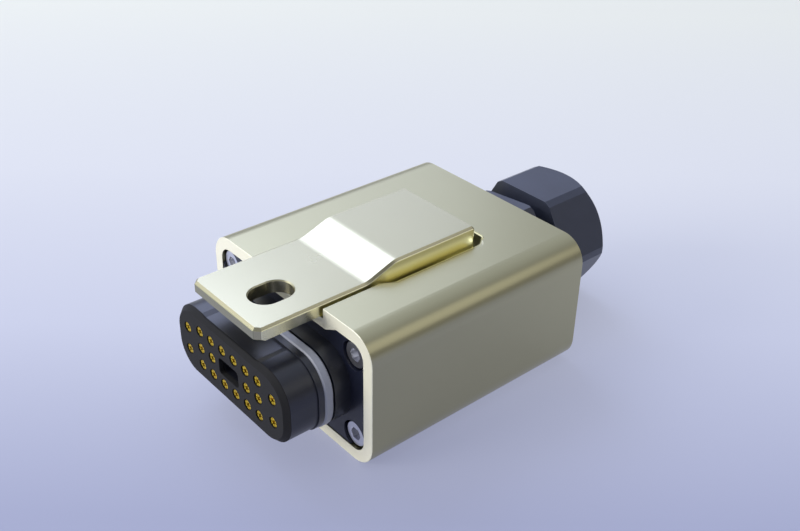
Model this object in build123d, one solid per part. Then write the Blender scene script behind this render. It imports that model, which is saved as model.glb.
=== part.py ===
from build123d import *
import math
import os

# Multipole plug in a metal housing, with a rocking latch lever and a cable gland.
# Millimetres. +Z is up, +Y runs from the plug to the gland, +X is to the right seen from the plug.
# The origin is the centre of the housing's flat bottom face.

# Housing: a rounded rectangular metal block, open at the plug end
housing_width = 52.0
housing_length = 56.0
housing_height = 30.0
housing_corner = 5.6
housing_edge = 0.1
side_wall = 2.5
floor_wall = 2.6
mouth_corner = 3.1
ledge_width = 1.9
cavity_corner = 2.0
rear_wall = 8.0

# Rib under the lever channel, seen in the mouth as a thicker wall with sloped ends
rib_overhang = 0.6
rib_wall = 2.1
rib_slope_width = 3.2
rib_round = 1.6
block_side_wall = 3.3
block_floor_wall = 2.6

# Lever channel cut into the housing's top
channel_gap = 0.65
notch_gap = 0.3
pocket_gap = 2.9
pocket_start = 11.3
pocket_end = 41.3
pocket_corner = 1.3
pocket_rim = 0.3
scoop_radius = 2.05
scoop_start = 13.0
scoop_full = 17.3
scoop_runout = 1.7
scoop_growth = ((0, 0.04), (0.3, 0.2), (0.6, 0.68), (1, 1))

# Latch lever: one machined plate, low at the tab and raised over the thumb pad
lever_half_width = 11.05
tab_rise = 0.8
pad_rise = 3.2
tab_thickness = 2.7
slope_start = 11.2
slope_end = 17.9
lever_end = 39.0
lever_edge = 0.55
tab_corner = 1.15
tab_under_edge = 0.4
pad_corner = 0.6
bend_round = 6.0
catch_width = 7.2
catch_length = 9.5
catch_offset = 2.1
catch_from_tip = 9.2
catch_edge = 0.25

# Pivot pin and return spring of the lever
pivot_from_front = 14.5
pivot_below_lever = 0.2
pin_radius = 1.0
pin_bore_clearance = 0.03
pin_recess = 0.3
pin_seat = 3.0
pin_end_gap = 0.1
pin_edge = 0.2
lug_radius = 2.1
spring_from_front = 33.5
spring_radius = 1.9
spring_wire = 0.55
spring_turns = 4
spring_well = 1.0
spring_cap = 2.4
spring_side_clearance = 0.35
spring_end_clearance = 0.1

# Plug nose: one moulding with the contact cavities, the seal's groove, a collar and a spigot
plug_above_middle = 0.12
plug_reach = 14.0
nose_chamfer = 1.0
nose_step_from_face = 7.1
nose_step = 0.3
nose_back_from_face = 8.4
top_flat_half_width = 8.7
top_flat_depth = 0.25
top_flat_slope = 1.4
spigot_end_wall = 1.5
spigot_side_wall = 1.1
spigot_corner = 4.85
groove_depth = 1.65
collar_proud = 0.15
key_width = 6.8
key_height = 3.8
key_corner = 0.9
key_depth = 8.0

# Seal ring round the plug
seal_width = 2.0
seal_proud = 0.2
seal_edge = 0.35
seal_fit = 0.04
seal_slack = 0.25

# Flange plate that clamps the plug, and its gasket
plate_recess = 0.15
plate_thickness = 5.0
plate_gap = 0.2
plate_fit = 0.1
gasket_thickness = 0.8
gasket_inset = 0.2

# Socket-head screws in the four corners
screw_from_side = 5.6
screw_from_top = 5.7
screw_radius = 1.5
screw_length = 12.0
screw_head_radius = 2.75
screw_head_height = 3.0
screw_head_edge = 0.2
screw_head_recess = 0.45
socket_across = 2.5
socket_depth = 1.5
screw_head_gap = 0.32
screw_hole_gap = 0.15
thread_clearance = 0.05
boss_wall = 2.0

# Contacts: turned sockets with slotted crowns and solder cups
pitch = 4.0
end_column_gap = 4.65
end_spacing = 2.6
contact_radius = 1.07
contact_hole_radius = 1.2
contact_recess = 0.18
contact_bore = 0.42
contact_bore_depth = 6.0
contact_edge = 0.12
slot_width = 0.2
slot_length = 3.0
slot_count = 3
shoulder_radius = 1.4
shoulder_length = 1.5
shoulder_clearance = 0.05
tail_radius = 0.85
tail_clearance = 0.06
cup_bore = 0.6
cup_bore_depth = 2.8
cup_reach = 4.0
cup_opening_height = 0.35

# Contact carrier: the back plate that holds the contacts in the nose
carrier_thickness = 3.2
carrier_overhang = 0.8
carrier_block_gap = 0.3

# Cable gland on the rear wall
gland_thread = 9.9
gland_gasket_thickness = 1.0
gland_gasket_radius = 11.8
gland_gasket_clearance = 0.1
gland_hex = 24.0
gland_hex_length = 5.0
gland_hex_turn = 6.0
gland_hex_crown = 13.4
gland_bore = 6.6
gland_neck = 9.8
gland_neck_length = 10.0
neck_relief = 9.25
neck_relief_past_nut = 0.5
gland_spigot_past_wall = 1.0
finger_radius = 9.2
finger_length = 5.0
finger_taper = 1.5
finger_count = 8
finger_slot = 0.9
finger_slot_length = 6.0
insert_bore = 4.5
insert_radius = 7.5
insert_length = 12.4
insert_clearance = 0.06
insert_lip = 0.6

# Gland nut
nut_gap = 3.0
nut_across = 26.4
nut_across_corners = 29.5
nut_length = 15.5
nut_crown_radius = 14.9
nut_crown_start = 12.2
nut_face_radius = 11.7
nut_face_round = 0.8
nut_thread_clearance = 0.08
nut_thread_length = 10.0
nut_mouth = 6.8
nut_mouth_length = 1.6

# Columns of contacts in the full rows, and the outlines that follow from them
columns = (-2.5, -1.5, -0.5, 0.5, 1.5, 2.5)
end_column = columns[-1] * pitch + end_column_gap
spigot_half_width = end_column + contact_hole_radius + spigot_end_wall
spigot_half_height = pitch + contact_hole_radius + spigot_side_wall

# Places that several pieces share
front = -housing_length / 2
back = housing_length / 2
top = housing_height
mid_height = housing_height / 2
plug_height = mid_height + plug_above_middle
gland_height = mid_height
plate_front = front + plate_recess
plate_back = plate_front + plate_thickness
ledge = plate_back + gasket_thickness
cavity_end = back - rear_wall
plug_face = front - plug_reach
nose_back = plug_face + nose_back_from_face
seal_back = nose_back + seal_width
carrier_back = plate_back + carrier_thickness
lever_top = top + tab_rise
pad_top = top + pad_rise
lever_bottom = lever_top - tab_thickness
pivot_y = front + pivot_from_front
pivot_z = lever_bottom - pivot_below_lever
spring_y = front + spring_from_front
channel_half_width = lever_half_width + channel_gap
notch_floor = lever_bottom - notch_gap
pocket_floor = lever_bottom - pocket_gap
rib_underside = notch_floor - rib_wall
rib_half_width = channel_half_width + rib_overhang
block_half_width = channel_half_width + block_side_wall
block_underside = pocket_floor - block_floor_wall
gland_hex_front = back + gland_gasket_thickness
gland_hex_back = gland_hex_front + gland_hex_length
nut_front = gland_hex_back + nut_gap
nut_back = nut_front + nut_length
finger_back = gland_hex_back + gland_neck_length + finger_length
insert_front = finger_back - insert_length
margin = 2.0


def prism_along_y(outline, y_start, y_end):
    """A sketch drawn in X and Z, extruded from y_start to y_end."""
    return extrude(Plane.XZ.offset(-y_start) * outline, amount=y_start - y_end)


def rounded_bar(half_width, half_height, corner, y_start, y_end, z_mid):
    """A bar along Y with a rounded rectangular section."""
    outline = Pos(0, z_mid) * RectangleRounded(2 * half_width, 2 * half_height, corner)
    return prism_along_y(outline, y_start, y_end)


def rod_along_y(radius, y_start, y_end, x=0.0, z=0.0):
    """A round rod along Y."""
    return prism_along_y(Pos(x, z) * Circle(radius), y_start, y_end)


def turned_along_y(points, x, z):
    """A turned piece: points are radius and Y pairs, in order round the half section."""
    outline = make_face(Polyline(*points, close=True))
    return Pos(x, 0, z) * revolve(outline, Axis.Y)


def edges_at_y(solid, y):
    """The edges that lie in one plane across Y."""
    return solid.edges().filter_by_position(Axis.Y, y - 0.001, y + 0.001)


def plug_bar(outset, y_start, y_end):
    """A length of the plug's oval outline, grown all round from the spigot by an outset."""
    return rounded_bar(
        spigot_half_width + outset,
        spigot_half_height + outset,
        spigot_corner + outset,
        y_start,
        y_end,
        plug_height,
    )


def screw_places():
    """Centres of the four flange screws, as X and Z pairs."""
    x = housing_width / 2 - screw_from_side
    z = housing_height / 2 - screw_from_top
    return [(sx * x, mid_height + sz * z) for sz in (-1, 1) for sx in (-1, 1)]


def contact_places():
    """Centres of the contacts, row by row from the top left."""
    places = []
    for row in (1, 0, -1):
        for column in columns:
            taken_by_key = row == 0 and abs(column) < 1
            if not taken_by_key:
                places.append((column * pitch, plug_height + row * pitch))
    for side in (-1, 1):
        for level in (1, -1):
            places.append((side * end_column, plug_height + level * end_spacing))
    return places


def mouth_outline():
    """The housing's opening at the plug end, with the thicker rib under the lever channel."""
    half_width = housing_width / 2 - side_wall
    ceiling = housing_height - floor_wall
    opening = Pos(0, (floor_wall + ceiling) / 2) * RectangleRounded(
        2 * half_width, ceiling - floor_wall, mouth_corner
    )
    rib_foot = rib_half_width + rib_slope_width
    rib = make_face(
        Polyline(
            (-rib_foot - margin, ceiling + margin),
            (-rib_foot, ceiling),
            (-rib_half_width, rib_underside),
            (rib_half_width, rib_underside),
            (rib_foot, ceiling),
            (rib_foot + margin, ceiling + margin),
            close=True,
        )
    )
    outline = opening - rib
    bends = [
        v
        for v in outline.vertices()
        if v.Y > rib_underside - 0.01 and abs(v.X) < rib_foot + 0.01
    ]
    return fillet(bends, rib_round)


def cavity_outline():
    """The housing's inside behind the ledge, with corner bosses and the channel block."""
    half_width = housing_width / 2 - side_wall - ledge_width
    low = floor_wall + ledge_width
    high = housing_height - floor_wall - ledge_width
    outline = Pos(0, (low + high) / 2) * RectangleRounded(2 * half_width, high - low, cavity_corner)
    block_height = housing_height - block_underside
    block = Pos(0, block_underside + block_height / 2)
    outline -= block * Rectangle(2 * block_half_width, block_height)
    for x, z in screw_places():
        outline -= Pos(x, z) * Circle(screw_radius + boss_wall)
    return outline


def scoop_section(side, y, radius):
    """The corner above a quarter-round edge of the channel, as a face across Y."""
    wall = side * channel_half_width
    crest = wall + side * radius
    middle_x = crest - side * radius * math.cos(math.radians(45))
    middle_z = top - radius + radius * math.sin(math.radians(45))
    low = (wall, y, top - radius)
    high = (crest, y, top)
    above = (crest, y, top + margin)
    inside = (wall - side * margin, y, top + margin)
    under = (wall - side * margin, y, top - radius)
    curve = ThreePointArc(low, (middle_x, y, middle_z), high)
    rest = Polyline(high, above, inside, under, low)
    return make_face(curve + rest)


def scoop_cut(side):
    """Rounds one long edge of the channel: it grows slowly in front and runs out on a cutter's arc."""
    run = scoop_full - scoop_start
    lead = [
        scoop_section(side, front + scoop_start + part * run, share * scoop_radius)
        for part, share in scoop_growth
    ]
    runout_start = front + pocket_end - pocket_corner - scoop_runout
    tail = [
        scoop_section(
            side, runout_start + part * scoop_runout, math.sqrt(1 - part * part) * scoop_radius
        )
        for part in (0, 0.5, 0.8, 0.97)
    ]
    return loft(lead) + loft([lead[-1], tail[0]], ruled=True) + loft(tail)


def housing_shell():
    body = rounded_bar(
        housing_width / 2, housing_height / 2, housing_corner, front, back, mid_height
    )
    body = chamfer(edges_at_y(body, front) + edges_at_y(body, back), housing_edge)
    body -= prism_along_y(mouth_outline(), front - margin, ledge)
    body -= prism_along_y(cavity_outline(), ledge, cavity_end)
    body -= rod_along_y(gland_thread + thread_clearance, cavity_end - margin, back + margin, z=gland_height)
    for x, z in screw_places():
        body -= rod_along_y(screw_radius + thread_clearance, ledge - margin, ledge + screw_length, x, z)
    body -= lever_channel()
    return body


def lever_channel():
    """Everything cut from the housing for the lever, its pin and its spring."""
    width = 2 * channel_half_width
    notch_length = pocket_start + 2 * margin
    notch_height = top + margin - notch_floor
    notch = Pos(0, front - margin + notch_length / 2, notch_floor + notch_height / 2)
    cut = notch * Box(width, notch_length, notch_height)
    pocket_length = pocket_end - pocket_start
    outline = Rectangle(width, pocket_length)
    outline = fillet(outline.vertices().group_by(Axis.Y)[-1], pocket_corner)
    pocket_middle = front + pocket_start + pocket_length / 2
    cut += Pos(0, pocket_middle, pocket_floor) * extrude(outline, amount=top + margin - pocket_floor)
    rim = Pos(0, pocket_middle, top - pocket_rim) * extrude(outline, amount=2 * pocket_rim, taper=-45)
    rim_length = pocket_corner + margin
    behind_scoop = Pos(0, front + pocket_end - pocket_corner + rim_length / 2, top)
    cut += rim & (behind_scoop * Box(width + margin, rim_length, 4 * pocket_rim))
    for side in (-1, 1):
        cut += scoop_cut(side)
    well_radius = spring_radius + spring_wire / 2 + spring_side_clearance
    well = Pos(0, spring_y, pocket_floor - spring_well / 2)
    cut += well * Cylinder(well_radius, spring_well + 0.02)
    bore_left = -housing_width / 2 - margin
    bore_right = channel_half_width + pin_seat
    bore = Pos((bore_left + bore_right) / 2, pivot_y, pivot_z) * Rot(0, 90, 0)
    cut += bore * Cylinder(pin_radius, bore_right - bore_left)
    return cut


def latch_lever():
    """Low tab with the catch hole, sloped step, raised pad and the pivot lug under the step."""
    tip = plug_face
    outline = make_face(
        Polyline(
            (tip, lever_bottom),
            (tip, lever_top),
            (front + slope_start, lever_top),
            (front + slope_end, pad_top),
            (front + lever_end, pad_top),
            (front + lever_end, lever_bottom),
            close=True,
        )
    )
    first_bend = front + slope_start - 0.01
    last_bend = front + slope_end + 0.01
    bends = outline.vertices().filter_by_position(Axis.X, first_bend, last_bend)
    outline = fillet(bends, bend_round)
    outline += Pos(pivot_y, pivot_z) * Circle(lug_radius)
    body = extrude(Plane.YZ * outline, amount=lever_half_width, both=True)
    body = chamfer(body.edges().filter_by(Axis.Z).group_by(Axis.Y)[0], tab_corner)
    body = fillet(body.edges().filter_by(Axis.Z).group_by(Axis.Y)[-1], pad_corner)
    rims = [
        edge
        for edge in body.edges()
        if edge.center().Z > lever_top - 0.01 and not on_bend_line(edge)
    ]
    body = chamfer(rims, lever_edge)
    under_tip = [
        edge
        for edge in body.edges()
        if edge.center().Z < lever_bottom + 0.01 and edge.center().Y < tip + tab_corner
    ]
    body = chamfer(under_tip, tab_under_edge)
    return body - lever_cuts()


def on_bend_line(edge):
    """True for the straight lines across the lever where its top face bends."""
    return edge.bounding_box().size.X > lever_half_width and is_inside_length(edge.center().Y)


def is_inside_length(y):
    """True for places between the lever's tip and its rear end."""
    return plug_face + 0.1 < y < front + lever_end - 0.1


def lever_cuts():
    """Catch hole with its countersunk rim, pin hole and spring seat."""
    catch = Pos(catch_offset, plug_face + catch_from_tip, 0)
    straight = catch_length - catch_width
    hole = Rot(0, 0, 90) * SlotCenterToCenter(straight, catch_width - 2 * catch_edge)
    rim = Rot(0, 0, 90) * SlotCenterToCenter(straight, catch_width)
    through = catch * Pos(0, 0, lever_bottom - margin) * extrude(hole, amount=tab_thickness + 2 * margin)
    sink_bottom = catch * Pos(0, 0, lever_top - catch_edge) * hole
    sink_top = catch * Pos(0, 0, lever_top) * rim
    cuts = through + loft([sink_bottom.face(), sink_top.face()], ruled=True)
    across = Pos(0, pivot_y, pivot_z) * Rot(0, 90, 0)
    cuts += across * Cylinder(pin_radius + pin_bore_clearance, 2 * lever_half_width + margin)
    cap_radius = spring_radius + spring_wire / 2 + spring_side_clearance
    cap = Pos(0, spring_y, lever_bottom + spring_cap / 2)
    cuts += cap * Cylinder(cap_radius, spring_cap + 0.02)
    return cuts


def pivot_pin():
    """Dowel pressed in from the left side; its end stays inside the rounded wall."""
    rise = max(0, pivot_z + pin_radius - (top - housing_corner))
    wall = -housing_width / 2 + housing_corner - math.sqrt(housing_corner**2 - rise**2)
    left = wall + pin_recess
    right = channel_half_width + pin_seat - pin_end_gap
    pin = Cylinder(pin_radius, right - left)
    pin = chamfer(pin.edges().group_by(Axis.Z)[0] + pin.edges().group_by(Axis.Z)[-1], pin_edge)
    return Pos((left + right) / 2, pivot_y, pivot_z) * Rot(0, 90, 0) * pin


def lever_spring():
    """Compression spring under the raised pad."""
    low = pocket_floor - spring_well + spring_end_clearance + spring_wire / 2
    high = lever_bottom + spring_cap - spring_end_clearance - spring_wire / 2
    path = Helix(pitch=(high - low) / spring_turns, height=high - low, radius=spring_radius)
    section = Plane(path @ 0, z_dir=path % 0) * RegularPolygon(spring_wire / 2, 6)
    return Pos(0, spring_y, low) * sweep(section, path=path, is_frenet=True)


def plug_nose():
    """One moulding: nose, land, groove for the seal, collar, spigot, contact cavities and key slot."""
    step = plug_face + nose_step_from_face
    land = groove_depth + nose_step
    body = chamfer(edges_at_y(plug_bar(groove_depth, plug_face, step), plug_face), nose_chamfer)
    body -= top_flat_cut()
    body += plug_bar(land, step, nose_back)
    body += plug_bar(0, nose_back, plate_back)
    body += plug_bar(land + collar_proud, seal_back + seal_slack, plate_front)
    for x, z in contact_places():
        body -= rod_along_y(contact_hole_radius, plug_face - margin, plate_back + margin, x, z)
    key = Pos(0, plug_height) * RectangleRounded(key_width, key_height, key_corner)
    body -= prism_along_y(key, plug_face - margin, plug_face + key_depth)
    return body


def top_flat_cut():
    """Shallow flat with sloped sides along the top of the nose."""
    crest = plug_height + spigot_half_height + groove_depth
    low = crest - top_flat_depth
    foot = top_flat_half_width + top_flat_slope
    outline = make_face(
        Polyline(
            (-top_flat_half_width, low),
            (top_flat_half_width, low),
            (foot, crest),
            (foot, crest + margin),
            (-foot, crest + margin),
            (-foot, crest),
            close=True,
        )
    )
    return prism_along_y(outline, plug_face - margin, plug_face + nose_step_from_face)


def seal_ring():
    """Soft ring in the groove between the nose and the collar."""
    ring = plug_bar(groove_depth + nose_step + seal_proud, nose_back, seal_back)
    ring = chamfer(edges_at_y(ring, nose_back) + edges_at_y(ring, seal_back), seal_edge)
    return ring - plug_bar(seal_fit, nose_back - margin, seal_back + margin)


def flange_plate():
    """Plate that closes the mouth behind the collar, with four counterbores."""
    plate = prism_along_y(offset(mouth_outline(), -plate_gap), plate_front, plate_back)
    plate -= plug_bar(plate_fit, plate_front - margin, plate_back + margin)
    head_floor = plate_front + screw_head_recess + screw_head_height
    for x, z in screw_places():
        plate -= rod_along_y(screw_head_radius + screw_head_gap, plate_front - margin, head_floor, x, z)
        plate -= rod_along_y(screw_radius + screw_hole_gap, plate_front, plate_back + margin, x, z)
    return plate


def flange_gasket():
    """Flat gasket between the plate and the housing's ledge."""
    sheet = offset(mouth_outline(), -plate_gap - gasket_inset)
    gasket = prism_along_y(sheet - cavity_outline(), plate_back, ledge)
    for x, z in screw_places():
        gasket -= rod_along_y(screw_radius + screw_hole_gap, plate_back - 1, ledge + 1, x, z)
    return gasket


def flange_screws():
    """Four socket-head screws as one group of separate solids."""
    head_front = plate_front + screw_head_recess
    head_back = head_front + screw_head_height
    screws = []
    for x, z in screw_places():
        head = rod_along_y(screw_head_radius, head_front, head_back, x, z)
        head = chamfer(edges_at_y(head, head_front), screw_head_edge)
        shank = rod_along_y(screw_radius, head_back, head_back + screw_length, x, z)
        socket = Pos(x, z) * RegularPolygon(socket_across / 2, 6, major_radius=False)
        screws.append(head + shank - prism_along_y(socket, head_front - 1, head_front + socket_depth))
    return Compound(children=screws)


def contact(x, z):
    """Turned socket contact: slotted crown, shoulder, and a tail that ends in a solder cup."""
    tip = plug_face + contact_recess
    shoulder_back = plate_back + shoulder_length
    tail_end = carrier_back + cup_reach
    body = turned_along_y(
        [
            (contact_bore, tip + contact_bore_depth),
            (contact_bore, tip),
            (contact_radius - contact_edge, tip),
            (contact_radius, tip + contact_edge),
            (contact_radius, plate_back),
            (shoulder_radius, plate_back),
            (shoulder_radius, shoulder_back),
            (tail_radius, shoulder_back),
            (tail_radius, tail_end),
            (cup_bore, tail_end),
            (cup_bore, tail_end - cup_bore_depth),
            (0, tail_end - cup_bore_depth),
            (0, tip + contact_bore_depth),
        ],
        x,
        z,
    )
    for turn in range(slot_count):
        slot = Pos(x, tip + slot_length / 2 - 0.5, z) * Rot(0, turn * 180 / slot_count, 0)
        body -= slot * Box(2.5 * contact_radius, slot_length + 1, slot_width)
    opening = Pos(x, tail_end - cup_bore_depth / 2 + 0.5, z + cup_opening_height + tail_radius)
    return body - opening * Box(3 * tail_radius, cup_bore_depth + 1, 2 * tail_radius)


def contact_carrier():
    """Back plate that clamps the contact shoulders against the spigot and the plug against the plate."""
    plate = plug_bar(carrier_overhang, plate_back, carrier_back)
    relief_floor = block_underside - carrier_block_gap
    relief = Pos(0, plate_back + carrier_thickness / 2, relief_floor + mid_height / 2)
    plate -= relief * Box(2 * (block_half_width + carrier_block_gap), 2 * carrier_thickness, mid_height)
    seat_back = plate_back + shoulder_length + shoulder_clearance
    for x, z in contact_places():
        plate -= rod_along_y(shoulder_radius + shoulder_clearance, plate_back - 1, seat_back, x, z)
        plate -= rod_along_y(tail_radius + tail_clearance, plate_back - 1, carrier_back + 1, x, z)
    return plate


def hexagon_bar(across, turn, y_start, y_end):
    """Hexagonal bar along the gland's axis."""
    outline = Pos(0, gland_height) * Rot(0, 0, turn) * RegularPolygon(across / 2, 6, major_radius=False)
    return prism_along_y(outline, y_start, y_end)


def gland_gasket():
    """Flat washer between the housing's rear wall and the gland's hexagon."""
    ring = rod_along_y(gland_gasket_radius, back, gland_hex_front, z=gland_height)
    hole = gland_thread + gland_gasket_clearance
    return ring - rod_along_y(hole, back - 1, gland_hex_front + 1, z=gland_height)


def gland_body():
    """Threaded spigot, crowned hexagon, neck for the nut and the slotted clamping fingers."""
    crown = gland_hex_crown
    slack = gland_hex / math.sqrt(3) - crown
    hexagon = hexagon_bar(gland_hex, gland_hex_turn, gland_hex_front, gland_hex_back)
    hexagon &= turned_along_y(
        [
            (0, gland_hex_front),
            (crown, gland_hex_front),
            (crown + slack, gland_hex_front + slack),
            (crown + slack, gland_hex_back - slack),
            (crown, gland_hex_back),
            (0, gland_hex_back),
        ],
        0,
        gland_height,
    )
    neck_end = finger_back - finger_length
    core = turned_along_y(
        [
            (gland_bore, cavity_end - gland_spigot_past_wall),
            (gland_thread, cavity_end - gland_spigot_past_wall),
            (gland_thread, gland_hex_front + 0.1),
            (neck_relief, gland_hex_front + 0.1),
            (neck_relief, nut_front + neck_relief_past_nut),
            (gland_neck, nut_front + neck_relief_past_nut),
            (gland_neck, neck_end),
            (finger_radius, neck_end),
            (finger_radius, finger_back - 2 * finger_taper),
            (finger_radius - finger_taper, finger_back),
            (gland_bore, finger_back),
        ],
        0,
        gland_height,
    )
    seat = rod_along_y(
        insert_radius + insert_clearance, insert_front, finger_back + margin, z=gland_height
    )
    bore = rod_along_y(gland_bore, gland_hex_front - 1, gland_hex_back + 1, z=gland_height)
    body = hexagon + core - bore - seat
    for turn in range(finger_count // 2):
        slot = Pos(0, finger_back - finger_slot_length / 2 + 0.5, gland_height)
        slot *= Rot(0, turn * 360 / finger_count, 0)
        body -= slot * Box(3 * gland_neck, finger_slot_length + 1, finger_slot)
    return body


def gland_insert():
    """Rubber sleeve that grips the cable."""
    end = finger_back - insert_clearance
    return turned_along_y(
        [
            (insert_bore, insert_front + insert_clearance),
            (insert_radius, insert_front + insert_clearance),
            (insert_radius, end),
            (insert_bore + insert_lip, end),
            (insert_bore, end - insert_lip),
        ],
        0,
        gland_height,
    )


def gland_nut():
    """Domed hexagonal nut with flattened corners and an open mouth for the cable."""
    body = hexagon_bar(nut_across, 0, nut_front, nut_back)
    body &= hexagon_bar(nut_across_corners, 30, nut_front, nut_back)
    crown_y = nut_front + nut_crown_start
    dome = turned_along_y(
        [
            (0, nut_front),
            (nut_crown_radius, nut_front),
            (nut_crown_radius, crown_y),
            (nut_face_radius, nut_back),
            (0, nut_back),
        ],
        0,
        gland_height,
    )
    dome = fillet(edges_at_y(dome, nut_back), nut_face_round)
    body &= dome
    inner = gland_neck + nut_thread_clearance
    thread_end = nut_front + nut_thread_length
    return body - turned_along_y(
        [
            (0, nut_front - 1),
            (inner, nut_front - 1),
            (inner, thread_end),
            (nut_mouth, nut_back - nut_mouth_length),
            (nut_mouth, nut_back + 1),
            (0, nut_back + 1),
        ],
        0,
        gland_height,
    )


def build_nodes():
    """Every node of the part, by name."""
    nodes = {
        "housing_shell": housing_shell(),
        "latch_lever": latch_lever(),
        "pivot_pin": pivot_pin(),
        "lever_spring": lever_spring(),
        "plug_nose": plug_nose(),
        "seal_ring": seal_ring(),
        "flange_plate": flange_plate(),
        "flange_gasket": flange_gasket(),
        "flange_screws": flange_screws(),
        "contact_carrier": contact_carrier(),
        "gland_gasket": gland_gasket(),
        "gland_body": gland_body(),
        "gland_insert": gland_insert(),
        "gland_nut": gland_nut(),
    }
    for number, (x, z) in enumerate(contact_places(), start=1):
        nodes[f"contact_{number:02d}"] = contact(x, z)
    return nodes


os.makedirs("parts", exist_ok=True)
for name, shape in build_nodes().items():
    export_step(shape, f"parts/{name}.step")
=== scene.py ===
"""Finishes, neck thread, lights and camera for the metal-housed plug with the latch lever."""

import math
import re

import bpy
from mathutils import Matrix, Vector


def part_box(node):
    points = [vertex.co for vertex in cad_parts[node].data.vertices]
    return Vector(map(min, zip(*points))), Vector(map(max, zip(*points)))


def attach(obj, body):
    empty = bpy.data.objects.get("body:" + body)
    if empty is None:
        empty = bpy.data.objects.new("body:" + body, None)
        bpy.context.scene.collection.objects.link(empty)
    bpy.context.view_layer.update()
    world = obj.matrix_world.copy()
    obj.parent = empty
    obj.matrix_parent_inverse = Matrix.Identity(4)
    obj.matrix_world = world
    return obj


bl_info = {
    "name": "Latched Plug",
    "version": (1, 0, 0),
    "blender": (4, 5, 0),
    "location": "View3D > Sidebar > Plug",
    "description": "Finishes, neck thread, lights and camera for a metal-housed plug",
    "category": "Object",
}

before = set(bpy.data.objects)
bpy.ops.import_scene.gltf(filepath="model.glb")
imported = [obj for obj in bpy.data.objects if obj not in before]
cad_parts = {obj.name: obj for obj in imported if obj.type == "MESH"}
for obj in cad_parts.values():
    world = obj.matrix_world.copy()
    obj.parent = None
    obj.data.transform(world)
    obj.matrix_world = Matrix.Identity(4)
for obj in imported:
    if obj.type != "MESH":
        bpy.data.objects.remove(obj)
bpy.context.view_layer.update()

# The photograph's view: lens and place come from its perspective
SENSOR_WIDTH_MM = 36.0
LENS_MM = 45.94
CAMERA_PLACE = (0.137424, -0.118248, 0.134949)
CAMERA_AZIMUTH = math.radians(49.160)
CAMERA_ELEVATION = math.radians(31.740)
CAMERA_ROLL = math.radians(1.0196)
CAMERA_CLIP = (0.01, 20.0)

# Floor tones by distance beyond the point below the camera, as display colours
FLOOR_STOPS = (
    (0.42, (230, 234, 238)),
    (0.27, (220, 224, 241)),
    (0.19, (203, 208, 235)),
    (0.13, (168, 174, 210)),
    (0.08, (172, 177, 212)),
    (-0.15, (218, 221, 238)),
)
FLOOR_FAR = 0.5
FLOOR_NEAR = -0.3
FLOOR_HALF = 8.0
FLOOR_ROUGHNESS = 0.9

# Lamps: name, setting of the brightness, direction from the object, distance, angular radius
# in degrees, colour
LAMPS = (
    ("Key", "key_strength", (-0.69, 0.1, 0.71), 1.1, 18.0, (0.58, 0.66, 1.0)),
    ("Fill", "fill_strength", (-0.6, -0.58, 0.56), 1.6, 29.0, (0.93, 0.96, 1.0)),
    ("Left", "left_strength", (-0.69, 0.52, 0.48), 0.8, 11.0, (0.6, 0.68, 1.0)),
    ("Back", "back_strength", (0.67, 0.5, 0.53), 0.8, 15.0, (1.0, 1.0, 1.0)),
    ("Low front", "front_strength", (-0.35, -0.9, 0.3), 1.6, 16.0, (1.0, 0.98, 0.94)),
)
LAMP_AIM = (0.0, 0.0, 0.015)

# The surroundings' bright side, and the cosines off it between which they brighten
SKY_TOWARDS = (-0.45, 0.15, 0.88)
SKY_FADE = (0.35, 1.0)

# How far behind its foremost or outermost point a node's surface still counts as that face.
# The nose's takes in the chamfer of the mating face
FACE_SKIN = 0.0001
NOSE_SKIN = 0.0011

# Half width, length and depth of the space that holds the lever's channel with its scoops, where
# the metal gets a painted glow of bounced light
CHANNEL_REACH = 0.014
CHANNEL_LENGTH = 0.042
CHANNEL_DEPTH = 0.005

# Cosines between the flat and the rounded normal at which the lighter edge starts and is full; the
# lighter edge is rubbed metal with a painted edge highlight
WEAR_TURN = (0.995, 0.9)
WEAR_SAMPLES = 6

# Noise values between which the mottling and the patches of lighter edge come in, and the least of
# that lighter edge
MOTTLE_FADE = (0.3, 0.7)
PATCH_FADE = (0.35, 0.65)
PATCH_LEAST = 0.35

# Sides of the thread ridge's profile
RIDGE_SIDES = 4

# Numbers of a Mix node's two inputs and its output, by the kind of data that it mixes
MIX_SOCKETS = {"RGBA": (6, 7, 2), "FLOAT": (2, 3, 0)}


def linear(rgb):
    """Linear colour with alpha from display values of 0 to 255."""
    out = []
    for value in rgb:
        share = value / 255
        out.append(share / 12.92 if share <= 0.04045 else ((share + 0.055) / 1.055) ** 2.4)
    return (*out, 1.0)


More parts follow.
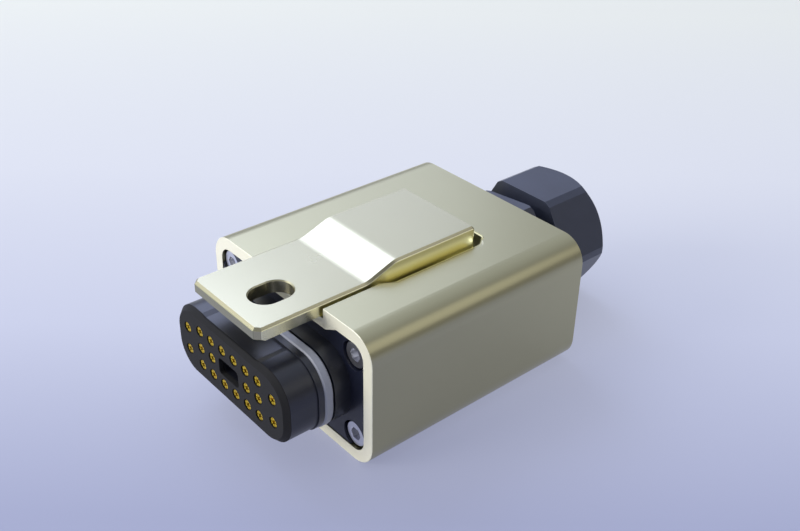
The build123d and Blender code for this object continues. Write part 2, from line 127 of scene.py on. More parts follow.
class PlugMetal(bpy.types.PropertyGroup):
    housing_colour: bpy.props.FloatVectorProperty(
        name="Housing colour", description="Champagne satin metal of the housing",
        default=(0.462, 0.433, 0.264), size=3, min=0.0, max=1.0, subtype="COLOR")
    lever_colour: bpy.props.FloatVectorProperty(
        name="Lever colour", description="Champagne metal of the machined lever",
        default=(0.477, 0.446, 0.288), size=3, min=0.0, max=1.0, subtype="COLOR")
    steel_colour: bpy.props.FloatVectorProperty(
        name="Steel colour", description="Screws, pin and spring",
        default=(0.74, 0.745, 0.78), size=3, min=0.0, max=1.0, subtype="COLOR")
    gold_colour: bpy.props.FloatVectorProperty(
        name="Contact colour", description="Gold plating of the contacts",
        default=(1.0, 0.66, 0.01), size=3, min=0.0, max=1.0, subtype="COLOR")
    housing_roughness: bpy.props.FloatProperty(
        name="Housing roughness", description="How far the housing spreads its reflections",
        default=0.3, min=0.0, max=1.0, subtype="FACTOR")
    lever_roughness: bpy.props.FloatProperty(
        name="Lever roughness", description="How far the lever spreads its reflections",
        default=0.27, min=0.0, max=1.0, subtype="FACTOR")
    # Painted reflection: a pale, less metallic colour on the housing's front face in place of
    # bright surroundings mirrored there
    rim_painted_reflection_colour: bpy.props.FloatVectorProperty(
        name="Rim colour", description="Painted reflection: pale colour on the housing's front face",
        default=(0.97, 0.94, 0.74), size=3, min=0.0, max=1.0, subtype="COLOR")
    # Painted light: a bright colour in the lever's channel and on the lever's sides, standing in
    # for light bounced between them
    painted_glow_colour: bpy.props.FloatVectorProperty(
        name="Painted glow colour", description="Painted bounced light on the channel's walls and the lever's sides",
        default=(0.93, 0.88, 0.56), size=3, min=0.0, max=1.0, subtype="COLOR")
    # Painted shade: a darker colour on the lever's end face that holds back the low front lamp's
    # light there
    tip_painted_shade_colour: bpy.props.FloatVectorProperty(
        name="Lever tip colour", description="Painted shade: darker colour on the lever's end face",
        default=(0.4, 0.38, 0.24), size=3, min=0.0, max=1.0, subtype="COLOR")
    rim_painted_reflection_metallic: bpy.props.FloatProperty(
        name="Rim metal", description="How mirror-like the front face's painted reflection is",
        default=0.2, min=0.0, max=1.0, subtype="FACTOR")
    grain_size: bpy.props.FloatProperty(
        name="Grain size", description="Size of the blasted grain", default=0.00022,
        min=0.00001, unit="LENGTH", subtype="DISTANCE")
    # Lighter edges: partly rubbed metal, partly a painted edge highlight
    worn_and_highlit_edge: bpy.props.FloatProperty(
        name="Worn and highlit edge", description="Width of the lighter rim along edges, rubbed and painted highlight", default=0.0003,
        min=0.0, unit="LENGTH", subtype="DISTANCE")


class PlugPlastic(bpy.types.PropertyGroup):
    nose_colour: bpy.props.FloatVectorProperty(
        name="Nose colour", description="Moulded plastic of the nose",
        default=(0.013, 0.0145, 0.023), size=3, min=0.0, max=1.0, subtype="COLOR")
    face_colour: bpy.props.FloatVectorProperty(
        name="Mating face colour", description="Finely textured face round the contacts",
        default=(0.001, 0.001, 0.002), size=3, min=0.0, max=1.0, subtype="COLOR")
    face_roughness: bpy.props.FloatProperty(
        name="Mating face roughness", description="How far the mating face spreads its reflections",
        default=0.9, min=0.0, max=1.0, subtype="FACTOR")
    plate_colour: bpy.props.FloatVectorProperty(
        name="Plate colour", description="Plastic of the flange plate",
        default=(0.008, 0.01, 0.022), size=3, min=0.0, max=1.0, subtype="COLOR")
    gland_colour: bpy.props.FloatVectorProperty(
        name="Gland colour", description="Plastic of the gland body and nut",
        default=(0.045, 0.052, 0.08), size=3, min=0.0, max=1.0, subtype="COLOR")
    seal_colour: bpy.props.FloatVectorProperty(
        name="Seal colour", description="Silicone of the seal ring",
        default=(0.4, 0.415, 0.47), size=3, min=0.0, max=1.0, subtype="COLOR")
    rubber_colour: bpy.props.FloatVectorProperty(
        name="Rubber colour", description="Gaskets and the cable grip",
        default=(0.02, 0.02, 0.021), size=3, min=0.0, max=1.0, subtype="COLOR")
    mould_grain: bpy.props.FloatProperty(
        name="Mould grain", description="Size of the moulded texture", default=0.00035,
        min=0.00001, unit="LENGTH", subtype="DISTANCE")


class PlugThread(bpy.types.PropertyGroup):
    pitch: bpy.props.FloatProperty(
        name="Pitch", description="Axial distance from crest to crest", default=0.0015,
        min=0.0002, unit="LENGTH", subtype="DISTANCE")
    crest_radius: bpy.props.FloatProperty(
        name="Crest radius", description="Outer radius of the neck thread", default=0.00978,
        min=0.001, unit="LENGTH", subtype="DISTANCE")
    depth: bpy.props.FloatProperty(
        name="Depth", description="Height of a ridge above its root", default=0.00052,
        min=0.0001, unit="LENGTH", subtype="DISTANCE")
    start: bpy.props.FloatProperty(
        name="Start", description="Y where the ridge leaves the hexagon", default=0.0343,
        unit="LENGTH", subtype="DISTANCE")
    turns: bpy.props.FloatProperty(
        name="Turns", description="Turns of the ridge", default=2.0, min=0.5)
    steps: bpy.props.IntProperty(
        name="Steps", description="Straight steps in one turn", default=64, min=12, max=256)


class PlugStudio(bpy.types.PropertyGroup):
    key_strength: bpy.props.FloatProperty(
        name="Key brightness", description="Brightness of the cool lamp on the left",
        default=3.9, min=0.0)
    fill_strength: bpy.props.FloatProperty(
        name="Fill brightness", description="Brightness of the wide lamp in front on the left",
        default=0.81, min=0.0)
    back_strength: bpy.props.FloatProperty(
        name="Back brightness", description="Brightness of the faint lamp behind on the right",
        default=0.64, min=0.0)
    left_strength: bpy.props.FloatProperty(
        name="Left brightness", description="Brightness of the cool lamp behind on the left",
        default=1.1, min=0.0)
    front_strength: bpy.props.FloatProperty(
        name="Front brightness", description="Brightness of the low lamp in front",
        default=8.2, min=0.0)
    sky_low: bpy.props.FloatVectorProperty(
        name="Dim side", description="Surroundings away from the lamps",
        default=(0.26, 0.26, 0.273), size=3, min=0.0, max=1.0, subtype="COLOR")
    sky_high: bpy.props.FloatVectorProperty(
        name="Bright side", description="Surroundings towards the lamps",
        default=(0.715, 0.78, 0.975), size=3, min=0.0, max=1.0, subtype="COLOR")
    floor_gain: bpy.props.FloatVectorProperty(
        name="Floor gain", description="Makes up for the lamps' level and colour on the floor",
        default=(1.08, 1.04, 0.85), size=3, min=0.1, max=2.0)
    floor_glow: bpy.props.FloatProperty(
        name="Floor glow", description="Share of the floor's tone that the object cannot shade",
        default=0.55, min=0.0, max=1.0, subtype="FACTOR")


# Small helpers for node trees

def add_node(tree, kind, **values):
    """A new node with its plain properties set."""
    node = tree.nodes.new(kind)
    for name, value in values.items():
        setattr(node, name, value)
    return node


def feed(tree, socket, value):
    """Links another node's output to a socket, or sets the socket to a plain value."""
    if isinstance(value, bpy.types.NodeSocket):
        tree.links.new(value, socket)
    else:
        socket.default_value = value


def math_node(tree, operation, first, second=None, clamp=False):
    """A Math node's output; each input is a socket or a number."""
    node = add_node(tree, "ShaderNodeMath", operation=operation, use_clamp=clamp)
    feed(tree, node.inputs[0], first)
    if second is not None:
        feed(tree, node.inputs[1], second)
    return node.outputs[0]


def fade(tree, value, before, least=0.0):
    """A share that goes from least to 1 while the value crosses a range, clamped."""
    node = add_node(tree, "ShaderNodeMapRange")
    node.inputs["From Min"].default_value, node.inputs["From Max"].default_value = before
    node.inputs["To Min"].default_value = least
    node.inputs["To Max"].default_value = 1.0
    tree.links.new(value, node.inputs["Value"])
    return node.outputs["Result"]


def noise(tree, vector, size, detail, roughness=0.5):
    """A noise texture's value; size is the socket with the size of its lumps."""
    scale = math_node(tree, "DIVIDE", 1.0, size)
    node = add_node(tree, "ShaderNodeTexNoise")
    for label, value in (
        ("Vector", vector), ("Scale", scale), ("Detail", detail), ("Roughness", roughness),
    ):
        feed(tree, node.inputs[label], value)
    return node.outputs[0]


def new_group(name, inputs, outputs):
    """A shader node group with its sockets, and its two end nodes."""
    tree = bpy.data.node_groups.new(name, "ShaderNodeTree")
    for label, default in inputs:
        socket = tree.interface.new_socket(label, in_out="INPUT", socket_type="NodeSocketFloat")
        socket.default_value = default
    for label in outputs:
        tree.interface.new_socket(label, in_out="OUTPUT", socket_type="NodeSocketFloat")
    return tree, add_node(tree, "NodeGroupInput"), add_node(tree, "NodeGroupOutput")


def grain_group():
    """Fine grain and slow mottling: a height, a roughness and a tint mask."""
    name = "Surface grain"
    if name in bpy.data.node_groups:
        return bpy.data.node_groups[name]
    tree, source, sink = new_group(
        name,
        (("Grain Size", 0.0002), ("Mottle Size", 0.012), ("Roughness", 0.35), ("Spread", 0.05)),
        ("Height", "Roughness", "Mottle"),
    )
    place = add_node(tree, "ShaderNodeTexCoord").outputs["Object"]
    fine = noise(tree, place, source.outputs["Grain Size"], 2.0)
    slow = noise(tree, place, source.outputs["Mottle Size"], 4.0, 0.6)
    centred = math_node(tree, "SUBTRACT", slow, 0.5)
    varied = math_node(tree, "MULTIPLY", centred, source.outputs["Spread"])
    spread = math_node(tree, "ADD", source.outputs["Roughness"], varied, clamp=True)
    tree.links.new(fine, sink.inputs["Height"])
    tree.links.new(spread, sink.inputs["Roughness"])
    tree.links.new(fade(tree, slow, MOTTLE_FADE), sink.inputs["Mottle"])
    return tree


def edge_group():
    """A broken-up mask along convex edges, for rubbed metal and a painted edge highlight."""
    name = "Edge wear"
    if name in bpy.data.node_groups:
        return bpy.data.node_groups[name]
    tree, source, sink = new_group(name, (("Width", 0.0003), ("Patch Size", 0.004)), ("Mask",))
    # Convex edges found by the bevel normal get the lighter rim: rubbed metal and a painted edge
    # highlight
    bevel = add_node(tree, "ShaderNodeBevel", samples=WEAR_SAMPLES)
    tree.links.new(source.outputs["Width"], bevel.inputs["Radius"])
    flat = add_node(tree, "ShaderNodeNewGeometry")
    dot = add_node(tree, "ShaderNodeVectorMath", operation="DOT_PRODUCT")
    tree.links.new(bevel.outputs["Normal"], dot.inputs[0])
    tree.links.new(flat.outputs["Normal"], dot.inputs[1])
    rim = fade(tree, dot.outputs["Value"], WEAR_TURN)
    place = add_node(tree, "ShaderNodeTexCoord").outputs["Object"]
    patches = noise(tree, place, source.outputs["Patch Size"], 3.0)
    worn_and_highlit = math_node(tree, "MULTIPLY", rim, fade(tree, patches, PATCH_FADE, PATCH_LEAST))
    tree.links.new(worn_and_highlit, sink.inputs["Mask"])
    return tree


def use_group(tree, group, **values):
    """The group placed in a tree, with its inputs set; underscores stand for spaces."""
    node = add_node(tree, "ShaderNodeGroup")
    node.node_tree = group
    for name, value in values.items():
        node.inputs[name.replace("_", " ")].default_value = value
    return node


def mix(tree, kind, share, first, second):
    """A colour or number between two; share is a socket, the two are plain values or sockets."""
    node = add_node(tree, "ShaderNodeMix", data_type=kind)
    from_slot, to_slot, out_slot = MIX_SOCKETS[kind]
    feed(tree, node.inputs["Factor"], share)
    feed(tree, node.inputs[from_slot], first)
    feed(tree, node.inputs[to_slot], second)
    return node.outputs[out_slot]


def scaled(colour, gain):
    """A colour made lighter or darker, with alpha."""
    return (*(min(1.0, part * gain) for part in colour[:3]), 1.0)


def finish_material(
        name, colour, roughness, grain, mottle, spread, bump, tint, metallic=0.0, specular=0.5,
        wear_and_highlight=0.0, wear_and_highlight_gain=1.0):
    """A finish with grain, slow mottling and, where an edge width is set, lighter edges of rubbed
    metal and painted edge highlight.
    """
    material = bpy.data.materials.new(name)
    material.use_nodes = True
    tree = material.node_tree
    shader = tree.nodes["Principled BSDF"]
    shader.inputs["Metallic"].default_value = metallic
    shader.inputs["Specular IOR Level"].default_value = specular
    surface = use_group(
        tree, grain_group(), Grain_Size=grain, Mottle_Size=mottle, Roughness=roughness,
        Spread=spread)
    dark, light = scaled(colour, 1.0 - tint), scaled(colour, 1.0 + tint)
    base = mix(tree, "RGBA", surface.outputs["Mottle"], dark, light)
    if wear_and_highlight > 0.0:
        # Lighter convex edges: rubbed metal and a painted edge highlight
        rim = use_group(tree, edge_group(), Width=wear_and_highlight)
        base = mix(tree, "RGBA", rim.outputs["Mask"], base, scaled(colour, wear_and_highlight_gain))
    tree.links.new(base, shader.inputs["Base Color"])
    tree.links.new(surface.outputs["Roughness"], shader.inputs["Roughness"])
    relief = add_node(tree, "ShaderNodeBump")
    relief.inputs["Strength"].default_value = 1.0
    relief.inputs["Distance"].default_value = bump
    tree.links.new(surface.outputs["Height"], relief.inputs["Height"])
    tree.links.new(relief.outputs["Normal"], shader.inputs["Normal"])
    return material


def zone_mask(material, **ranges):
    """A mask for the places inside the given range of each named axis."""
    tree = material.node_tree
    parts = add_node(tree, "ShaderNodeSeparateXYZ")
    tree.links.new(add_node(tree, "ShaderNodeTexCoord").outputs["Object"], parts.inputs[0])
    mask = None
    for axis, (low, high) in ranges.items():
        offset = math_node(tree, "SUBTRACT", parts.outputs[axis], (low + high) / 2)
        distance = math_node(tree, "ABSOLUTE", offset)
        inside = math_node(tree, "LESS_THAN", distance, (high - low) / 2)
        mask = inside if mask is None else math_node(tree, "MULTIPLY", mask, inside)
    return mask


def finish_zone(material, zone, colour, **levels):
    """Another colour, and other levels of the named settings, where the mask is set."""
    tree = material.node_tree
    inputs = tree.nodes["Principled BSDF"].inputs
    base = inputs["Base Color"]
    tree.links.new(mix(tree, "RGBA", zone, base.links[0].from_socket, (*colour, 1.0)), base)
    for setting, level in levels.items():
        socket = inputs[setting]
        rest = socket.links[0].from_socket if socket.is_linked else socket.default_value
        tree.links.new(mix(tree, "FLOAT", zone, rest, level), socket)


def front_zone(material, name, skin):
    """A mask for what lies at most a skin's depth behind a node's foremost point."""
    low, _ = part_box(name)
    return zone_mask(material, Y=(low[1] - skin, low[1] + skin))


def dress(material, *names):
    """Gives CAD nodes this material in every slot."""
    for name in names:
        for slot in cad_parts[name].material_slots:
            slot.material = material


# Geometry Nodes for the neck thread

def thread_tree():
    """A ridge wound round Y, and the identifiers of the tree's inputs."""
    tree = bpy.data.node_groups.new("Neck thread", "GeometryNodeTree")
    face = tree.interface
    sockets = {}
    for label, kind in (
        ("Pitch", "Float"), ("Crest Radius", "Float"), ("Depth", "Float"), ("Start", "Float"),
        ("Turns", "Float"), ("Steps", "Int"), ("Centre Height", "Float"), ("Finish", "Material"),
    ):
        socket = face.new_socket(label, in_out="INPUT", socket_type="NodeSocket" + kind)
        sockets[label] = socket.identifier
    face.new_socket("Geometry", in_out="OUTPUT", socket_type="NodeSocketGeometry")
    source = add_node(tree, "NodeGroupInput")
    sink = add_node(tree, "NodeGroupOutput")
    link = tree.links.new
    root = math_node(tree, "SUBTRACT", source.outputs["Crest Radius"], source.outputs["Depth"])
    spiral = add_node(tree, "GeometryNodeCurveSpiral")
    link(source.outputs["Steps"], spiral.inputs["Resolution"])
    link(source.outputs["Turns"], spiral.inputs["Rotations"])
    link(root, spiral.inputs["Start Radius"])
    link(root, spiral.inputs["End Radius"])
    length = math_node(tree, "MULTIPLY", source.outputs["Pitch"], source.outputs["Turns"])
    link(length, spiral.inputs["Height"])
    upright = add_node(tree, "GeometryNodeSetCurveNormal", mode="Z_UP")
    link(spiral.outputs["Curve"], upright.inputs["Curve"])
    profile = add_node(tree, "GeometryNodeCurvePrimitiveCircle")
    profile.inputs["Resolution"].default_value = RIDGE_SIDES
    link(source.outputs["Depth"], profile.inputs["Radius"])
    ridge = add_node(tree, "GeometryNodeCurveToMesh")
    link(upright.outputs["Curve"], ridge.inputs["Curve"])
    link(profile.outputs["Curve"], ridge.inputs["Profile Curve"])
    ridge.inputs["Fill Caps"].default_value = True
    along = add_node(tree, "GeometryNodeTransform")
    along.inputs["Rotation"].default_value = (math.radians(-90), 0.0, 0.0)
    link(ridge.outputs["Mesh"], along.inputs["Geometry"])
    place = add_node(tree, "ShaderNodeCombineXYZ")
    link(source.outputs["Start"], place.inputs["Y"])
    link(source.outputs["Centre Height"], place.inputs["Z"])
    link(place.outputs["Vector"], along.inputs["Translation"])
    real = add_node(tree, "GeometryNodeRealizeInstances")
    link(along.outputs["Geometry"], real.inputs["Geometry"])
    painted = add_node(tree, "GeometryNodeSetMaterial")
    link(real.outputs["Geometry"], painted.inputs["Geometry"])
    link(source.outputs["Finish"], painted.inputs["Material"])
    link(painted.outputs["Geometry"], sink.inputs["Geometry"])
    return tree, sockets


def mesh_from_nodes(name, tree, sockets, values):
    """A plain mesh object made by a Geometry Nodes tree."""
    blank = bpy.data.meshes.new(name + "_source")
    maker = bpy.data.objects.new(name + "_maker", blank)
    bpy.context.scene.collection.objects.link(maker)
    modifier = maker.modifiers.new("Maker", "NODES")
    modifier.node_group = tree
    for label, value in values.items():
        modifier[sockets[label]] = value
    graph = bpy.context.evaluated_depsgraph_get()
    graph.update()
    mesh = bpy.data.meshes.new_from_object(maker.evaluated_get(graph))
    mesh.name = name
    bpy.data.objects.remove(maker)
    piece = bpy.data.objects.new(name, mesh)
    bpy.context.scene.collection.objects.link(piece)
    return piece


# Operators, one for each piece or group of like pieces

class PLUG_OT_housing(bpy.types.Operator):
    """Satin champagne metal on the housing"""
    bl_idname = "plug.housing"
    bl_label = "Housing"

    def execute(self, context):
        metal = context.scene.plug_metal
        satin = finish_material(
            "Champagne satin metal", metal.housing_colour, metal.housing_roughness, metallic=1.0,
            grain=metal.grain_size, mottle=0.02, spread=0.02, bump=5e-7, tint=0.015,
            wear_and_highlight=metal.worn_and_highlit_edge, wear_and_highlight_gain=1.25)
        low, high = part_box("housing_shell")
        # Painted light: the channel and its scoops get a bright colour that stands in for light
        # bounced between the lever and the housing
        channel = zone_mask(
            satin, X=(-CHANNEL_REACH, CHANNEL_REACH), Y=(low[1], low[1] + CHANNEL_LENGTH),
            Z=(high[2] - CHANNEL_DEPTH, high[2] - FACE_SKIN))
        finish_zone(satin, channel, metal.painted_glow_colour)
        # Painted reflection: the front face gets a pale colour and less metal, so the low front
        # lamp lights it as if it mirrored bright surroundings
        rim = front_zone(satin, "housing_shell", FACE_SKIN)
        finish_zone(satin, rim, metal.rim_painted_reflection_colour, Metallic=metal.rim_painted_reflection_metallic)
        dress(satin, "housing_shell")
        return {"FINISHED"}


class PLUG_OT_lever(bpy.types.Operator):
    """Machined lever, its pin and its spring"""
    bl_idname = "plug.lever"
    bl_label = "Latch lever"

    def execute(self, context):
        metal = context.scene.plug_metal
        machined = finish_material(
            "Machined champagne metal", metal.lever_colour, metal.lever_roughness, metallic=1.0,
            grain=metal.grain_size, mottle=0.015, spread=0.02, bump=4e-7, tint=0.015,
            wear_and_highlight=metal.worn_and_highlit_edge, wear_and_highlight_gain=1.25)
        low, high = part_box("latch_lever")
        # Painted light: the lever's side faces get the same bright colour of bounced light
        between = zone_mask(machined, X=(low[0] + FACE_SKIN, high[0] - FACE_SKIN))
        sides = math_node(machined.node_tree, "SUBTRACT", 1.0, between)
        finish_zone(machined, sides, metal.painted_glow_colour)
        # Painted shade: the lever's end face gets a darker colour that holds back the low front
        # lamp's light on it
        finish_zone(machined, front_zone(machined, "latch_lever", FACE_SKIN), metal.tip_painted_shade_colour)
        dress(machined, "latch_lever")
        dress(
            finish_material(
                "Ground steel", metal.steel_colour, 0.28, metallic=1.0, grain=0.0001, mottle=0.004,
                spread=0.1, bump=4e-6, tint=0.05),
            "pivot_pin", "lever_spring")
        return {"FINISHED"}


class PLUG_OT_nose(bpy.types.Operator):
    """Moulded nose, contact carrier, flange plate and the seals"""
    bl_idname = "plug.nose"
    bl_label = "Nose and flange"

    def execute(self, context):
        plastic = context.scene.plug_plastic
        moulded = finish_material(
            "Moulded nose plastic", plastic.nose_colour, 0.34, grain=plastic.mould_grain,
            mottle=0.009, spread=0.06, bump=3e-6, tint=0.12, wear_and_highlight=0.0002, wear_and_highlight_gain=1.6,
            specular=0.65)
        face = front_zone(moulded, "plug_nose", NOSE_SKIN)
        finish_zone(moulded, face, plastic.face_colour, Roughness=plastic.face_roughness)
        dress(moulded, "plug_nose", "contact_carrier")
        dress(
            finish_material(
                "Flange plastic", plastic.plate_colour, 0.3, grain=plastic.mould_grain,
                mottle=0.01, spread=0.08, bump=6e-6, tint=0.1, wear_and_highlight=0.0002, wear_and_highlight_gain=1.9),
            "flange_plate")
        dress(
            finish_material(
                "Seal silicone", plastic.seal_colour, 0.45, grain=0.00025, mottle=0.006,
                spread=0.1, bump=8e-6, tint=0.05),
            "seal_ring")
        dress(
            finish_material(
                "Black rubber", plastic.rubber_colour, 0.6, grain=0.0003, mottle=0.006,
                spread=0.12, bump=1e-5, tint=0.15),
            "flange_gasket", "gland_gasket", "gland_insert")
        return {"FINISHED"}


class PLUG_OT_contacts(bpy.types.Operator):
    """Gold plating on the socket contacts"""
    bl_idname = "plug.contacts"
    bl_label = "Contacts"

    def execute(self, context):
        metal = context.scene.plug_metal
        gold = finish_material(
            "Gold plating", metal.gold_colour, 0.3, metallic=0.92, grain=0.00008, mottle=0.002,
            spread=0.1, bump=2e-6, tint=0.06, wear_and_highlight=0.00008, wear_and_highlight_gain=1.2)
        contacts = re.compile(r"contact_\d+")
        dress(gold, *(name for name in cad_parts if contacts.fullmatch(name)))
        return {"FINISHED"}


class PLUG_OT_screws(bpy.types.Operator):
    """Steel of the flange screws"""
    bl_idname = "plug.screws"
    bl_label = "Flange screws"

    def execute(self, context):
        metal = context.scene.plug_metal
        dress(
            finish_material(
                "Screw steel", metal.steel_colour, 0.3, metallic=1.0, grain=0.00012, mottle=0.003,
                spread=0.1, bump=3e-6, tint=0.05, wear_and_highlight=0.00015, wear_and_highlight_gain=1.25),
            "flange_screws")
        return {"FINISHED"}


class PLUG_OT_gland(bpy.types.Operator):
    """Dark polyamide on the gland body and its nut"""
    bl_idname = "plug.gland"
    bl_label = "Cable gland"

    def execute(self, context):
        plastic = context.scene.plug_plastic
        dress(
            finish_material(
                "Gland polyamide", plastic.gland_colour, 0.37, grain=plastic.mould_grain,
                mottle=0.012, spread=0.08, bump=8e-6, tint=0.12, wear_and_highlight=0.00025, wear_and_highlight_gain=1.8,
                specular=0.6),
            "gland_body", "gland_nut")
        return {"FINISHED"}


class PLUG_OT_thread(bpy.types.Operator):
    """Thread ridge on the gland's neck, between the hexagon and the nut"""
    bl_idname = "plug.thread"
    bl_label = "Neck thread"

    def execute(self, context):
        thread = context.scene.plug_thread
        low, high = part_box("gland_nut")
        tree, sockets = thread_tree()
        values = {
            "Pitch": thread.pitch,
            "Crest Radius": thread.crest_radius,
            "Depth": thread.depth,
            "Start": thread.start,
            "Turns": thread.turns,
            "Steps": thread.steps,
            "Centre Height": (low[2] + high[2]) / 2,
            "Finish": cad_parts["gland_body"].material_slots[0].material,
        }
        piece = mesh_from_nodes("neck_thread", tree, sockets, values)
        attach(piece, "housing")
        return {"FINISHED"}


def floor_material(gain, glow):
    """Pale floor whose tone follows the photograph's background, with the object's shadow."""
    material = bpy.data.materials.new("Studio floor")
    material.use_nodes = True
    tree = material.node_tree
    shader = tree.nodes["Principled BSDF"]
    shader.inputs["Roughness"].default_value = FLOOR_ROUGHNESS
    shader.inputs["Specular IOR Level"].default_value = 0.0
    place = add_node(tree, "ShaderNodeTexCoord").outputs["Object"]
    away = Vector((-math.sin(CAMERA_AZIMUTH), math.cos(CAMERA_AZIMUTH), 0.0))
    foot = Vector((CAMERA_PLACE[0], CAMERA_PLACE[1], 0.0))
    dot = add_node(tree, "ShaderNodeVectorMath", operation="DOT_PRODUCT")
    dot.inputs[1].default_value = away
    tree.links.new(place, dot.inputs[0])
    reach = math_node(tree, "SUBTRACT", dot.outputs["Value"], foot.dot(away))
    share = fade(tree, reach, (FLOOR_NEAR, FLOOR_FAR))
    ramp = add_node(tree, "ShaderNodeValToRGB")
    stops = ramp.color_ramp.elements
    nearest_first = sorted(FLOOR_STOPS)
    while len(stops) < len(nearest_first):
        stops.new(0.5)
    for stop, (distance, colour) in zip(stops, nearest_first):
        stop.position = (distance - FLOOR_NEAR) / (FLOOR_FAR - FLOOR_NEAR)
        stop.color = linear(colour)
    tree.links.new(share, ramp.inputs["Fac"])
    lit = add_node(tree, "ShaderNodeVectorMath", operation="MULTIPLY")
    tree.links.new(ramp.outputs["Color"], lit.inputs[0])
    lit.inputs[1].default_value = gain
    tree.links.new(lit.outputs["Vector"], shader.inputs["Base Color"])
    plain = add_node(tree, "ShaderNodeEmission")
    tree.links.new(ramp.outputs["Color"], plain.inputs["Color"])
    rays = add_node(tree, "ShaderNodeLightPath").outputs
    seen = math_node(tree, "MAXIMUM", rays["Is Camera Ray"], rays["Is Glossy Ray"])
    seen = math_node(tree, "MAXIMUM", seen, rays["Is Transmission Ray"])
    blend = add_node(tree, "ShaderNodeMixShader")
    tree.links.new(math_node(tree, "MULTIPLY", seen, glow), blend.inputs["Fac"])
    tree.links.new(shader.outputs["BSDF"], blend.inputs[1])
    tree.links.new(plain.outputs["Emission"], blend.inputs[2])
    tree.links.new(blend.outputs["Shader"], tree.nodes["Material Output"].inputs["Surface"])
    return material


def disc_lamp(name, direction, distance, angle, brightness, colour):
    """A round lamp of an angular radius and an even brightness, aimed at the object."""
    data = bpy.data.lights.new(name, "AREA")
    data.shape = "DISK"
    radius = distance * math.tan(math.radians(angle))
    data.size = 2 * radius
    # The power that gives the lamp's face this brightness
    data.energy = brightness * math.pi * (math.pi * radius ** 2)
    data.color = colour
    lamp = bpy.data.objects.new(name, data)
    towards = Vector(direction).normalized()
    lamp.location = Vector(LAMP_AIM) + towards * distance
    lamp.rotation_euler = towards.to_track_quat("Z", "Y").to_euler()
    lamp.visible_camera = False
    bpy.context.scene.collection.objects.link(lamp)


def build_sky(studio):
    """Surroundings that are lighter towards the lamps and dimmer on the far side."""
    world = bpy.data.worlds.new("Studio")
    bpy.context.scene.world = world
    world.use_nodes = True
    tree = world.node_tree
    way = add_node(tree, "ShaderNodeTexCoord").outputs["Generated"]
    dot = add_node(tree, "ShaderNodeVectorMath", operation="DOT_PRODUCT")
    dot.inputs[1].default_value = Vector(SKY_TOWARDS).normalized()
    tree.links.new(way, dot.inputs[0])
    share = fade(tree, dot.outputs["Value"], SKY_FADE)
    colour = mix(tree, "RGBA", share, (*studio.sky_low, 1.0), (*studio.sky_high, 1.0))
    tree.links.new(colour, tree.nodes["Background"].inputs["Color"])


def build_camera():
    """The camera at the photograph's place and turn."""
    right = Vector((math.cos(CAMERA_AZIMUTH), math.sin(CAMERA_AZIMUTH), 0.0))
    up = Vector((
        -math.sin(CAMERA_AZIMUTH) * math.sin(CAMERA_ELEVATION),
        math.cos(CAMERA_AZIMUTH) * math.sin(CAMERA_ELEVATION),
        math.cos(CAMERA_ELEVATION),
    ))
    back = Vector((
        math.sin(CAMERA_AZIMUTH) * math.cos(CAMERA_ELEVATION),
        -math.cos(CAMERA_AZIMUTH) * math.cos(CAMERA_ELEVATION),
        math.sin(CAMERA_ELEVATION),
    ))
    across = math.cos(CAMERA_ROLL) * right + math.sin(CAMERA_ROLL) * up
    above = -math.sin(CAMERA_ROLL) * right + math.cos(CAMERA_ROLL) * up
    data = bpy.data.cameras.new("Photo view")
    data.sensor_width = SENSOR_WIDTH_MM
    data.sensor_fit = "HORIZONTAL"
    data.lens = LENS_MM
    data.clip_start, data.clip_end = CAMERA_CLIP
    camera = bpy.data.objects.new("Photo view", data)
    camera.matrix_world = Matrix((
        (across.x, above.x, back.x, CAMERA_PLACE[0]),
        (across.y, above.y, back.y, CAMERA_PLACE[1]),
        (across.z, above.z, back.z, CAMERA_PLACE[2]),
        (0.0, 0.0, 0.0, 1.0),
    ))
    bpy.context.scene.collection.objects.link(camera)
    bpy.context.scene.camera = camera


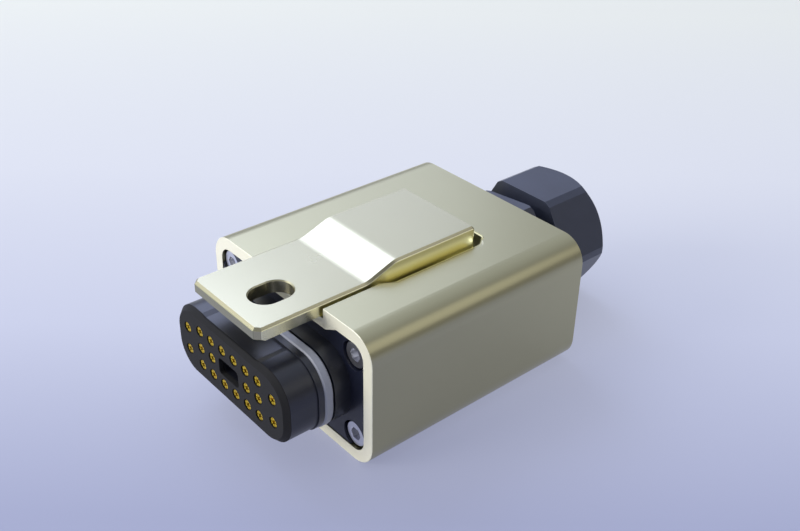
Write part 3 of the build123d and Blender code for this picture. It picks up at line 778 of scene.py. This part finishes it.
class PLUG_OT_stage(bpy.types.Operator):
    """Floor, surroundings, lamps and camera"""
    bl_idname = "plug.stage"
    bl_label = "Studio"

    def execute(self, context):
        studio = context.scene.plug_studio
        context.scene.view_settings.view_transform = "Standard"
        mesh = bpy.data.meshes.new("studio_floor")
        half = FLOOR_HALF
        corners = [(-half, -half, 0), (half, -half, 0), (half, half, 0), (-half, half, 0)]
        mesh.from_pydata(corners, [], [(0, 1, 2, 3)])
        mesh.materials.append(floor_material(studio.floor_gain, studio.floor_glow))
        floor = bpy.data.objects.new("studio_floor", mesh)
        context.scene.collection.objects.link(floor)
        for name, strength, direction, distance, angle, colour in LAMPS:
            disc_lamp(name, direction, distance, angle, getattr(studio, strength), colour)
        build_sky(studio)
        build_camera()
        return {"FINISHED"}


class PLUG_PT_panel(bpy.types.Panel):
    """The plug's finishes and stage"""
    bl_idname = "PLUG_PT_panel"
    bl_label = "Latched plug"
    bl_space_type = "VIEW_3D"
    bl_region_type = "UI"
    bl_category = "Plug"

    def draw(self, context):
        for operator in OPERATORS:
            self.layout.operator(operator.bl_idname)
        for group in GROUPS:
            box = self.layout.box()
            settings = getattr(context.scene, GROUPS[group])
            for name in group.__annotations__:
                box.prop(settings, name)


GROUPS = {
    PlugMetal: "plug_metal",
    PlugPlastic: "plug_plastic",
    PlugThread: "plug_thread",
    PlugStudio: "plug_studio",
}
OPERATORS = (
    PLUG_OT_housing,
    PLUG_OT_lever,
    PLUG_OT_nose,
    PLUG_OT_contacts,
    PLUG_OT_screws,
    PLUG_OT_gland,
    PLUG_OT_thread,
    PLUG_OT_stage,
)


def register():
    """Registers the settings, the operators and the panel."""
    for group, name in GROUPS.items():
        bpy.utils.register_class(group)
        setattr(bpy.types.Scene, name, bpy.props.PointerProperty(type=group))
    for operator in OPERATORS:
        bpy.utils.register_class(operator)
    bpy.utils.register_class(PLUG_PT_panel)


def unregister():
    """Takes everything out again."""
    bpy.utils.unregister_class(PLUG_PT_panel)
    for operator in reversed(OPERATORS):
        bpy.utils.unregister_class(operator)
    for group, name in GROUPS.items():
        delattr(bpy.types.Scene, name)
        bpy.utils.unregister_class(group)


def main():
    """Builds everything in order."""
    register()
    bpy.ops.plug.housing()
    bpy.ops.plug.lever()
    bpy.ops.plug.nose()
    bpy.ops.plug.contacts()
    bpy.ops.plug.screws()
    bpy.ops.plug.gland()
    bpy.ops.plug.thread()
    bpy.ops.plug.stage()


if __name__ == "__main__":
    main()
